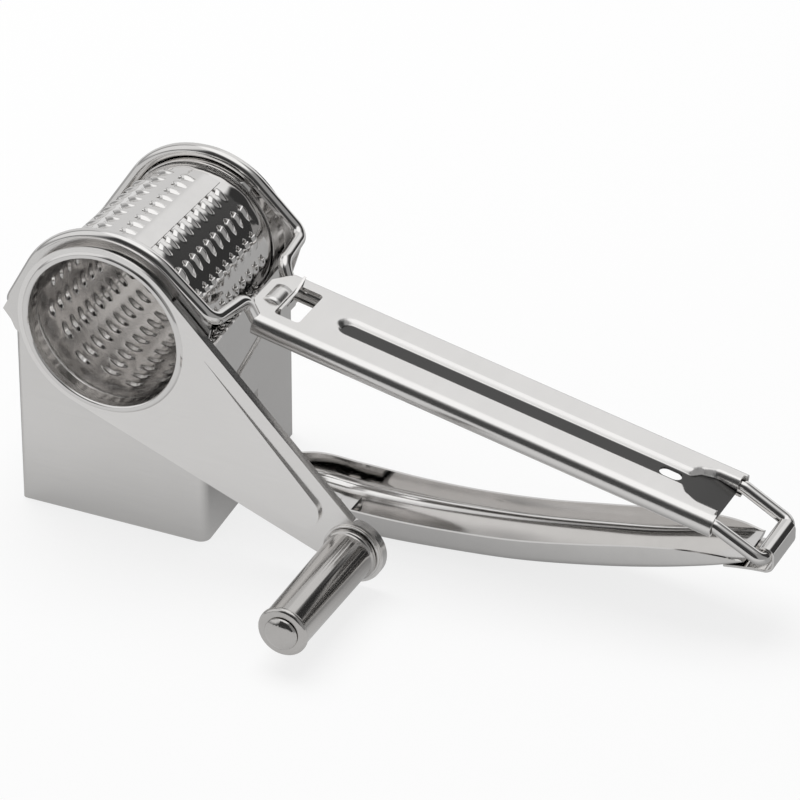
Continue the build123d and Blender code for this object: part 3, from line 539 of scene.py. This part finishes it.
# middle along the handle, half length, half width and corner radius of each opening
WINDOW = (8.15, 4.05, 8.5, 1.2)
LOUVRE_SLOT = (1.2, 1.8, 4.5, 0.3)
HANGING_HOLE = (128.6, 3.5, 2.2, 2.2)


def on_rails(s, v, n):
    """Handle coordinates (along, across, up from the rails' plane) to drawing points.

    x = x0 + s cos a + n sin a, y = v, z = z0 - s sin a + n cos a.
    """
    return np.stack([
        RAIL_X + s * math.cos(SLOPE) + n * math.sin(SLOPE), v + 0 * s,
        RAIL_Z - s * math.sin(SLOPE) + n * math.cos(SLOPE)], -1)


def smooth(t):
    """3 t^2 - 2 t^3 between 0 and 1."""
    t = np.clip(t, 0, 1)
    return t * t * (3 - 2 * t)


def round_box(s, v, middle, half_s, half_v, radius):
    """Signed distance to a rounded rectangle: |max(q, 0)| + min(max(q), 0) - r, negative inside it."""
    a = np.abs(s - middle) - half_s + radius
    b = np.abs(v) - half_v + radius
    return np.hypot(np.maximum(a, 0), np.maximum(b, 0)) + np.minimum(np.maximum(a, b), 0) - radius


def openings(s, v):
    """Signed distance to the nearest of the window, the slot under the louvre and the hanging hole."""
    window_or_slot = np.minimum(round_box(s, v, *WINDOW), round_box(s, v, *LOUVRE_SLOT))
    return np.minimum(window_or_slot, round_box(s, v, *HANGING_HOLE))


along = np.concatenate([np.linspace(PLATE_START, 16, 50), np.linspace(16.7, 40, 34),
                        np.linspace(42, 122, 41), np.linspace(122.8, PLATE_END, 40)])
across = np.linspace(-1, 1, 53)
s = along[:, None] + 0 * across
v = across * np.interp(along, [PLATE_START, 0.0], [5.9, RAIL_Y])[:, None]
# points near an opening's edge are drawn onto it, along the distance's slope
for _ in range(3):
    gap = openings(s, v)
    step = 1e-3
    ds = (openings(s + step, v) - gap) / step
    dv = (openings(s, v + step) - gap) / step
    near = (np.abs(gap) < 0.3) & (np.abs(across) < 0.95)
    s = s - np.where(near, gap * ds, 0)
    v = v - np.where(near, gap * dv, 0)
# the groove's floor widens in the scoop and falls away to the hinge
flare = smooth((s - 133.2) / 2.6) * 0.55 + smooth((s - 134.6) / 6.0) * 0.45
floor_half = 2.5 + 5.7 * flare
reach = np.hypot(v, np.maximum(25.3 - s, 0))
sink = smooth((floor_half + 2.3 - 1.3 * flare - reach) / (2.3 - 1.3 * flare))
n = PLATE_UNDER - sink * (GROOVE_DEPTH + 3.23 * smooth((s - 130) / 26))
plate_points = [on_rails(s, v, n).reshape(-1, 3)]
quads = grid_faces(len(along), len(across), flip=True)
centre = np.stack([s.ravel(), v.ravel()], -1)[quads].mean(1)
plate_quads = [quads[openings(centre[:, 0], centre[:, 1]) > 0]]
groove_shade_values = [sink.ravel()]
# rolled edges
roll_s = np.concatenate([along[along > 0.3], [ROLL_END]])
turn = np.radians(np.linspace(90, -102, 15))
for side in (-1, 1):
    v = side * (RAIL_Y + ROLL_R * np.cos(turn)) + 0 * roll_s[:, None]
    n = ROLL_R * np.sin(turn) + 0 * roll_s[:, None]
    plate_points.append(on_rails(roll_s[:, None] + 0 * v, v, n).reshape(-1, 3))
    plate_quads.append(grid_faces(len(roll_s), 15, flip=side > 0) + sum(len(p) for p in plate_points[:-1]))
    groove_shade_values.append(np.zeros(len(plate_points[-1])))
# the faces look down, so the sheet is laid on top of this surface
grip_sheet = skin("grip_sheet", np.concatenate(plate_points), np.concatenate(plate_quads))
# the groove attribute is the mask for the painted shade in the groove and scoop
groove_shade_attribute = grip_sheet.data.attributes.new("groove", "FLOAT", "POINT")
groove_shade_attribute.data.foreach_set("value", np.concatenate(groove_shade_values))
weld(grip_sheet)
give_thickness(grip_sheet, PLATE_SHEET, 0.00015)
grip_satin_groove_shaded = steel("grip_satin_groove_shaded", 0.86, 0.22, BRUSHED_GRAIN, 0.03, 0.03, 0.0, groove=True)
dress(grip_sheet, grip_satin_groove_shaded, "frame", "grip_plate")

# louvre over the catch pin's bulge, and the two lugs that hold the pin
bow = np.radians(np.linspace(138, 42, 13))[:, None]
width = np.linspace(-4.5, 4.5, 5)[None]
pin_louvre = skin("pin_louvre", on_rails(1.2 + 3.2 * np.cos(bow) + 0 * width, width + 0 * bow,
                                         0.62 + 3.2 * np.sin(bow) + 0 * width).reshape(-1, 3),
                  grid_faces(13, 5, flip=True))
give_thickness(pin_louvre, PLATE_SHEET)
lug_points = [on_rails(np.array([a]), np.array([side * 6.1 + b]), np.array([c]))
              for side in (-1, 1) for a in (0.0, 2.9) for b in (-0.4, 0.4) for c in (-1.6, 2.1)]
lug_box = np.array([(0, 1, 3, 2), (4, 6, 7, 5), (0, 4, 5, 1), (2, 3, 7, 6), (0, 2, 6, 4), (1, 5, 7, 3)])
pin_lugs = skin("pin_lugs", np.concatenate(lug_points), np.concatenate([lug_box, lug_box + 8]), False)
for piece in (pin_louvre, pin_lugs):
    dress(piece, satin, "frame")

# ------------------------------------------------------------------ lower handle
# A trough pressed from thin sheet with upright sides and a bowed floor, closed at the left end.
# Its floor runs out to the right as a tongue that is curled round the hinge bar.
TROUGH_SHEET = 0.0008            # metres
TONGUE_HALF = 8.4
STRIP_WINDOW = (5.6, 3.65, 5.8)  # in the end wall: half width, bottom and top
# stations along the trough, its half width there, and the heights of rim, foot of the side and floor
STATIONS = np.array([37, 44, 60, 80, 100, 120, 140, 158, 172, 182, 189.0])
HALF_WIDTH = np.array([9.6, 12.2, 12.8, 12.7, 12.5, 12.5, 12.2, 11.5, 11.0, 10.2, 9.0])
RIM = np.array([9.0, 9.6, 9.6, 9.6, 10.8, 13.2, 17.1, 20.9, 23.2, 23.6, 23.0])
FOOT = np.array([4.2, 3.9, 3.5, 3.8, 5.0, 7.1, 10.6, 14.2, 17.6, 20.2, 22.0])
FLOOR = np.array([2.2, 0.9, 0.0, 0.5, 2.2, 4.6, 8.2, 12.2, 16.2, 19.4, 21.8])


def through(x, values):
    """Cubic run through the stations: h00 p0 + h10 w m0 + h01 p1 + h11 w m1."""
    slope = np.gradient(values, STATIONS)
    k = np.clip(np.searchsorted(STATIONS, x, side="right") - 1, 0, len(STATIONS) - 2)
    wide = STATIONS[k + 1] - STATIONS[k]
    t = (x - STATIONS[k]) / wide
    return ((1 + 2 * t) * (1 - t) ** 2 * values[k] + t * (1 - t) ** 2 * wide * slope[k]
            + t * t * (3 - 2 * t) * values[k + 1] + t * t * (t - 1) * wide * slope[k + 1])


x = np.concatenate([np.linspace(37, 60, 30), np.linspace(61, 189, 110)])[:, None]
half, rim, foot, low = (through(x, values) for values in (HALF_WIDTH, RIM, FOOT, FLOOR))
low = np.maximum(low, 0.0)
# section: upright sides, then v = half |cos t|^0.8 and z = shoulder - (shoulder - low) |sin t|^0.8
wall = np.linspace(1, 0, 5)[None]
turn = np.linspace(0, np.pi, 41)[None, 1:-1]
shoulder = foot + 1.2
bow_v = -np.sign(np.cos(turn)) * np.abs(np.cos(turn)) ** 0.80
bow_z = shoulder - (shoulder - low) * np.sin(turn) ** 0.80
side_z = shoulder + (rim - shoulder) * wall
v = np.concatenate([-half + 0 * wall, half * bow_v, half + 0 * wall], 1)
z = np.concatenate([side_z, bow_z, side_z[:, ::-1]], 1)
# the end wall is three more rows of points, the window for the presser's strip left out of it
end_levels = np.array([RIM[0], STRIP_WINDOW[2], STRIP_WINDOW[1]])[:, None]
end_z = np.maximum(z[:1], end_levels)
trough_z = np.concatenate([end_z, z])
trough_x = np.concatenate([np.full((3, 1), STATIONS[0]), x]) + 0 * trough_z
trough_v = np.concatenate([np.repeat(v[:1], 3, 0), v])
quads = grid_faces(len(trough_x), trough_x.shape[1], flip=True)
middle = np.stack([trough_x.ravel(), trough_v.ravel(), trough_z.ravel()], -1)[quads].mean(1)
in_end_wall = middle[:, 0] < STATIONS[0] + 0.1
in_height = (middle[:, 2] > STRIP_WINDOW[1] + 0.05) & (middle[:, 2] < STRIP_WINDOW[2])
window = in_end_wall & in_height & (np.abs(middle[:, 1]) < STRIP_WINDOW[0])
points = np.stack([trough_x, trough_v, trough_z], -1)
lower_trough = skin("lower_trough", points.reshape(-1, 3), quads[~window])
weld(lower_trough, sharp=50)

# tongue from the floor, round the hinge bar
up = np.radians(np.linspace(-90, 0, 12))
over = np.radians(np.linspace(0, 205, 30))
curl_x = np.concatenate([[183.0, 187.0, 191.0, 193.5], 195.3 + 3.1 * np.cos(up), 195.5 + 2.9 * np.cos(over)])
curl_z = np.concatenate([[19.4, 20.0, 20.5, 20.7], 23.9 + 3.1 * np.sin(up), 26.2 + 2.9 * np.sin(over)])
curl_y = np.linspace(-TONGUE_HALF, TONGUE_HALF, 9)[None]
curl_x, curl_z = curl_x[:, None], curl_z[:, None]
curl = np.stack([curl_x + 0 * curl_y, curl_y + 0 * curl_x, curl_z + 0 * curl_y], -1)
hinge_curl = skin("hinge_curl", curl.reshape(-1, 3), grid_faces(len(curl_x), 9, flip=True))
for piece, node in ((lower_trough, "lower_handle"), (hinge_curl, None)):
    give_thickness(piece, TROUGH_SHEET, 0.0002)
    dress(piece, polished, "handle", node)

# ------------------------------------------------------------------ studio
# A white table and surround. Polished steel shows what stands round a catalogue set: a lit
# backdrop behind, a large lamp overhead, a dark corner to the right and the dark room in front.


def ray_is(start, kind):
    """1 for rays of this kind, otherwise 0."""
    return start.node("ShaderNodeLightPath", out=kind)


table_mesh = bpy.data.meshes.new("table_top")
table_mesh.from_pydata([(-3, -3, 0), (3, -3, 0), (3, 3, 0), (-3, 3, 0)], [], [(0, 1, 2, 3)])
table_top = bpy.data.objects.new("table_top", table_mesh)
bpy.context.scene.collection.objects.link(table_top)
table_white = bpy.data.materials.new("table_white")
table_white.use_nodes = True
table_white.node_tree.nodes.clear()
start = Flow(table_white.node_tree)
seen = ray_is(start, "Is Camera Ray")
mirrored = ray_is(start, "Is Glossy Ray")
matt = start.node("ShaderNodeBsdfDiffuse", None, {"Color": (0.86, 0.86, 0.86, 1)})
place = start.node("ShaderNodeTexCoord", out="Object")
depth = start.node("ShaderNodeSeparateXYZ", None, {"Vector": place}, out="Y")
# painted shadow: as steel reflects it, the floor is darker just behind the tool, where its shadow lies, and
# brighter again further back
floor_shade_in_reflections = depth.ramp(-0.055, 0.03, 0.60, 0.28) + depth.ramp(0.15, 0.5, 0.0, 0.45)
glow = start.node("ShaderNodeEmission", None, {"Color": (1, 1, 1, 1), "Strength": seen + mirrored * floor_shade_in_reflections})
cover = start.node("ShaderNodeMixShader", None, {0: seen * 0.78 + mirrored * 0.85, 1: matt, 2: glow})
start.node("ShaderNodeOutputMaterial", None, {"Surface": cover})
table_mesh.materials.append(table_white)

world = bpy.data.worlds.new("surround")
bpy.context.scene.world = world
world.use_nodes = True
world.node_tree.nodes.clear()
start = Flow(world.node_tree)
way = start.node("ShaderNodeTexCoord", out="Generated")
split = {axis: start.node("ShaderNodeSeparateXYZ", None, {"Vector": way}, out=axis) for axis in "XYZ"}
# bearing from straight behind the tool, to the right, and height above the table, both in degrees
bearing = split["X"].maths("ARCTAN2", split["X"], split["Y"]) * (180 / math.pi)
height = split["Z"].maths("ARCSINE", split["Z"], 0.0) * (180 / math.pi)
light = start.maths("ADD", 0.30, 0.0)                       # where no window is


def lit_patch(light, level, left, right, low, high, soft=5.0):
    """Sets one window of bearings and heights to a level, with soft edges."""
    across = bearing.ramp(left - soft, left + soft) * bearing.ramp(right - soft, right + soft, 1, 0)
    upright = height.ramp(low - soft, low + soft) * height.ramp(high - soft, high + soft, 1, 0)
    amount = across * upright
    return light * (1 - amount) + amount * level


light = lit_patch(light, 0.66, -70, -16, -20, 60)           # left part of the backdrop
light = lit_patch(light, 0.82, -17, 19, -20, 62)            # lit backdrop straight behind
light = lit_patch(light, 0.035, 21, 66, -20, 44)            # dark corner, right
light = lit_patch(light, 0.045, -400, -135, -20, 50, 8)     # dark room in front
light = lit_patch(light, 0.045, 140, 400, -20, 50, 8)
light = lit_patch(light, 0.80, -150, -88, 8, 62, 8)         # large panel, front left
light = lit_patch(light, 1.05, -400, 400, 60, 200, 6)       # lamp overhead
# the camera sees plain white, polished steel sees the windows, and matt light is even
shown = ray_is(start, "Is Camera Ray")
glassy = ray_is(start, "Is Transmission Ray")
gloss = ray_is(start, "Is Glossy Ray")
plain = 1 - shown - glassy - gloss
level = shown + glassy + gloss * light + plain.maths("MAXIMUM", plain, 0.0) * 0.5
background = start.node("ShaderNodeBackground", None, {"Color": (1, 1, 1, 1), "Strength": level})
start.node("ShaderNodeOutputWorld", None, {"Surface": background})

lamp_data = bpy.data.lights.new("overhead_softbox", "AREA")
lamp_data.shape = "RECTANGLE"
lamp_data.size = 1.4
lamp_data.size_y = 1.0
lamp_data.energy = 18
lamp = bpy.data.objects.new("overhead_softbox", lamp_data)
lamp.location = (-0.4, 0.4, 1.5)
lamp.rotation_euler = (math.radians(-14), math.radians(-16), 0)
lamp.visible_glossy = False
bpy.context.scene.collection.objects.link(lamp)

# camera at the photograph's viewing angle, solved from the box edges, the arches and the wires
eye = bpy.data.cameras.new("catalogue_camera")
eye.lens = 248.1
eye.sensor_width = 36.0
eye.clip_start = 0.05
eye.clip_end = 20
camera = bpy.data.objects.new("catalogue_camera", eye)
camera.location = (0.57195, -1.2119, 0.8803)
camera.rotation_euler = (math.radians(90 - 31.549), 0, math.radians(24.966))
bpy.context.scene.collection.objects.link(camera)
bpy.context.scene.camera = camera
bpy.context.scene.view_settings.view_transform = "Standard"
